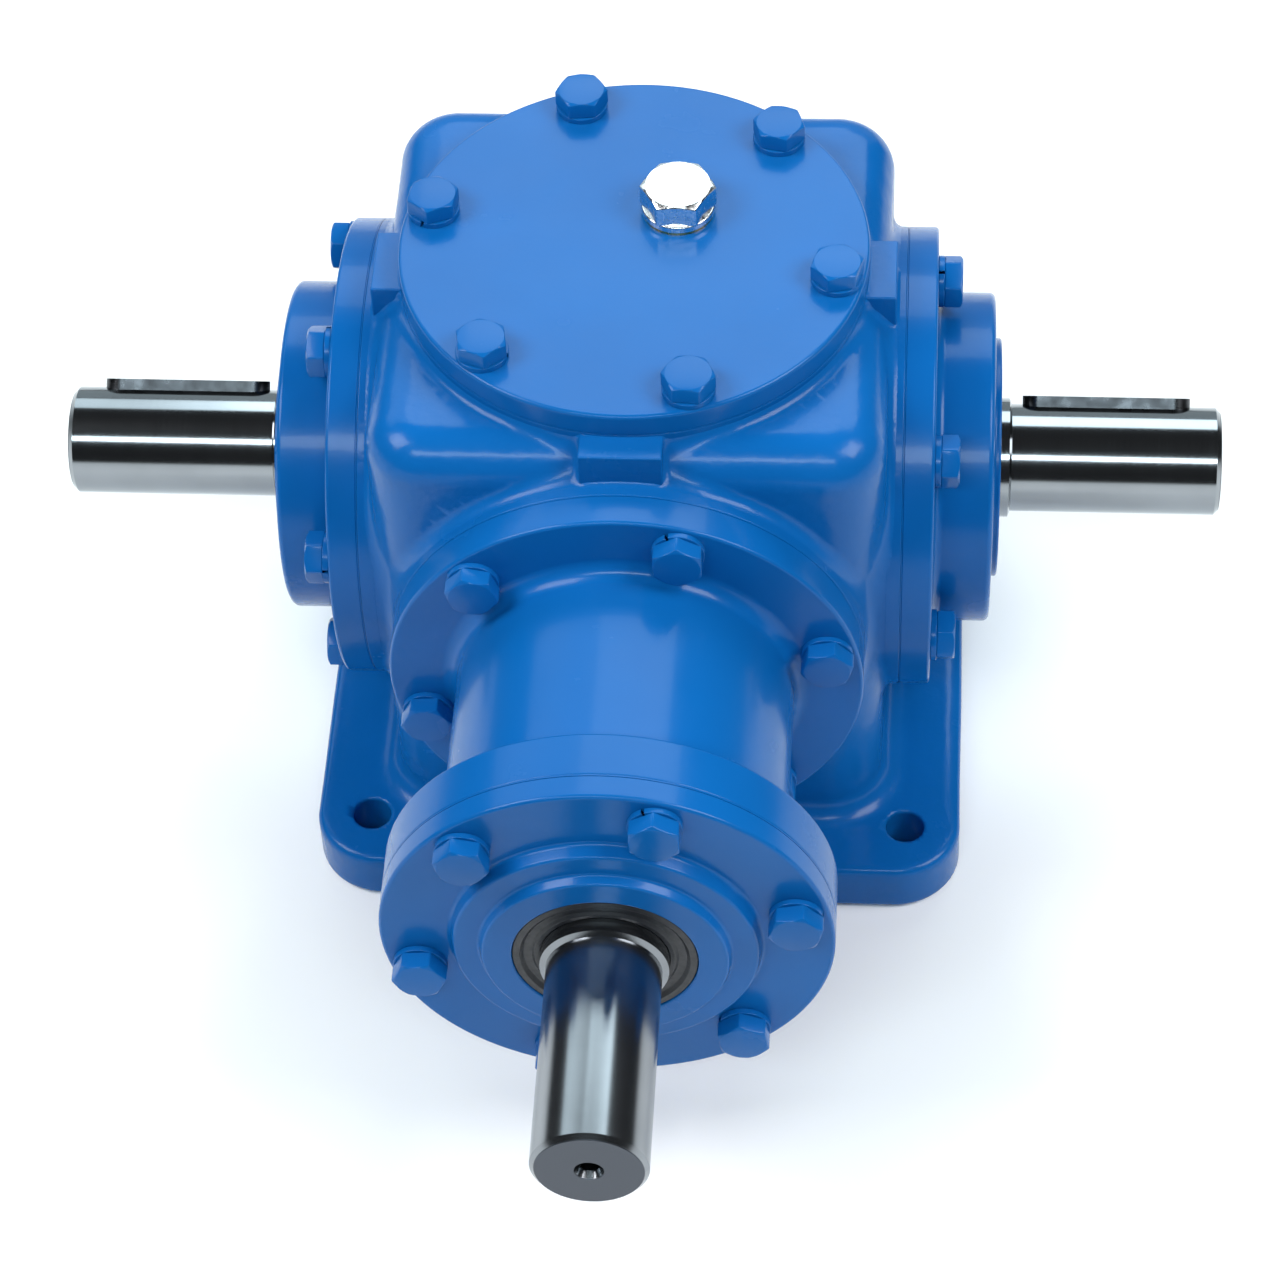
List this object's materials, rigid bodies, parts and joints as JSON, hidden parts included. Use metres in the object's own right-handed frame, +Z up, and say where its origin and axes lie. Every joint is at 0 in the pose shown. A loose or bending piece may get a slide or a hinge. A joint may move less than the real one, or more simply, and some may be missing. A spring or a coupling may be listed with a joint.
{
  "type": "right angle bevel gearbox",
  "caption": "Foot-mounted right angle gearbox: equal spiral bevel gears in a cast housing, a keyed input shaft at the front and a keyed output shaft right through.",
  "frame": {"origin": "centre of the underside of the base plate", "axes": "+Z up out of the base, X along the output shaft, -Y the way the input shaft leaves"},
  "size_m": [0.484, 0.4955, 0.2765],
  "materials": {
    "enamel": "gloss blue enamel",
    "ground_steel": "ground",
    "bearing_steel": "ground and polished",
    "dark_steel": "oiled, dark",
    "zinc_plate": "bright zinc plate",
    "seal_rubber": "matt black",
    "seal_paper": "compressed fibre",
    "brass": "satin"
  },
  "bodies": {
    "gearbox": {"housing": "enamel", "top_cover": "enamel", "top_cover_gasket": "seal_paper", "top_cover_bolts": "enamel", "top_cover_washers": "enamel", "filler_plug": "zinc_plate", "filler_plug_washer": "brass", "drain_plug": "zinc_plate", "drain_plug_washer": "brass", "oil_sight_glass": "brass", "left_bearing_cover": "enamel", "left_cover_shims": "ground_steel", "left_cover_bolts": "enamel", "left_cover_washers": "enamel", "left_oil_seal": "seal_rubber", "left_bearing_cup": "bearing_steel", "right_bearing_cover": "enamel", "right_cover_shims": "ground_steel", "right_cover_bolts": "enamel", "right_cover_washers": "enamel", "right_oil_seal": "seal_rubber", "right_bearing_cup": "bearing_steel", "quill_housing": "enamel", "quill_shims": "ground_steel", "quill_bolts": "enamel", "quill_washers": "enamel", "inner_bearing_cup": "bearing_steel", "outer_bearing_cup": "bearing_steel", "input_cap": "enamel", "input_cap_gasket": "seal_paper", "input_cap_bolts": "enamel", "input_cap_washers": "enamel", "input_oil_seal": "seal_rubber"},
    "output": {"output_shaft": "ground_steel", "output_gear": "dark_steel", "gear_key": "ground_steel", "gear_spacer": "dark_steel", "left_shaft_key": "ground_steel", "right_shaft_key": "ground_steel", "left_bearing_cone": "bearing_steel", "right_bearing_cone": "bearing_steel"},
    "input": {"input_shaft": "ground_steel", "input_pinion": "dark_steel", "pinion_key": "ground_steel", "pinion_lock_washer": "ground_steel", "pinion_lock_nut": "dark_steel", "pinion_spacer": "dark_steel", "input_shaft_key": "ground_steel", "bearing_lock_washer": "ground_steel", "bearing_lock_nut": "dark_steel", "inner_bearing_cone": "bearing_steel", "outer_bearing_cone": "bearing_steel"},
    "left_roller_set": {"left_bearing_rollers": "bearing_steel", "left_bearing_cage": "dark_steel"},
    "right_roller_set": {"right_bearing_rollers": "bearing_steel", "right_bearing_cage": "dark_steel"},
    "inner_roller_set": {"inner_bearing_rollers": "bearing_steel", "inner_bearing_cage": "dark_steel"},
    "outer_roller_set": {"outer_bearing_rollers": "bearing_steel", "outer_bearing_cage": "dark_steel"}
  },
  "joints": [
    {"name": "output_spin", "type": "hinge", "parent": "gearbox", "child": "output", "pos_m": [0, 0, 0.14], "axis": [1, 0, 0], "continuous": true},
    {"name": "input_spin", "type": "hinge", "parent": "gearbox", "child": "input", "pos_m": [0, 0, 0.14], "axis": [0, -1, 0], "continuous": true},
    {"name": "left_rollers_spin", "type": "hinge", "parent": "gearbox", "child": "left_roller_set", "pos_m": [0, 0, 0.14], "axis": [1, 0, 0], "continuous": true},
    {"name": "right_rollers_spin", "type": "hinge", "parent": "gearbox", "child": "right_roller_set", "pos_m": [0, 0, 0.14], "axis": [1, 0, 0], "continuous": true},
    {"name": "inner_rollers_spin", "type": "hinge", "parent": "gearbox", "child": "inner_roller_set", "pos_m": [0, 0, 0.14], "axis": [0, -1, 0], "continuous": true},
    {"name": "outer_rollers_spin", "type": "hinge", "parent": "gearbox", "child": "outer_roller_set", "pos_m": [0, 0, 0.14], "axis": [0, -1, 0], "continuous": true}
  ],
  "couplings": [
    {"joint": "input_spin", "follows": "output_spin", "ratio": -1},
    {"joint": "left_rollers_spin", "follows": "output_spin", "ratio": 0.4202},
    {"joint": "right_rollers_spin", "follows": "output_spin", "ratio": 0.4202},
    {"joint": "inner_rollers_spin", "follows": "output_spin", "ratio": -0.4346},
    {"joint": "outer_rollers_spin", "follows": "output_spin", "ratio": -0.4346}
  ]
}
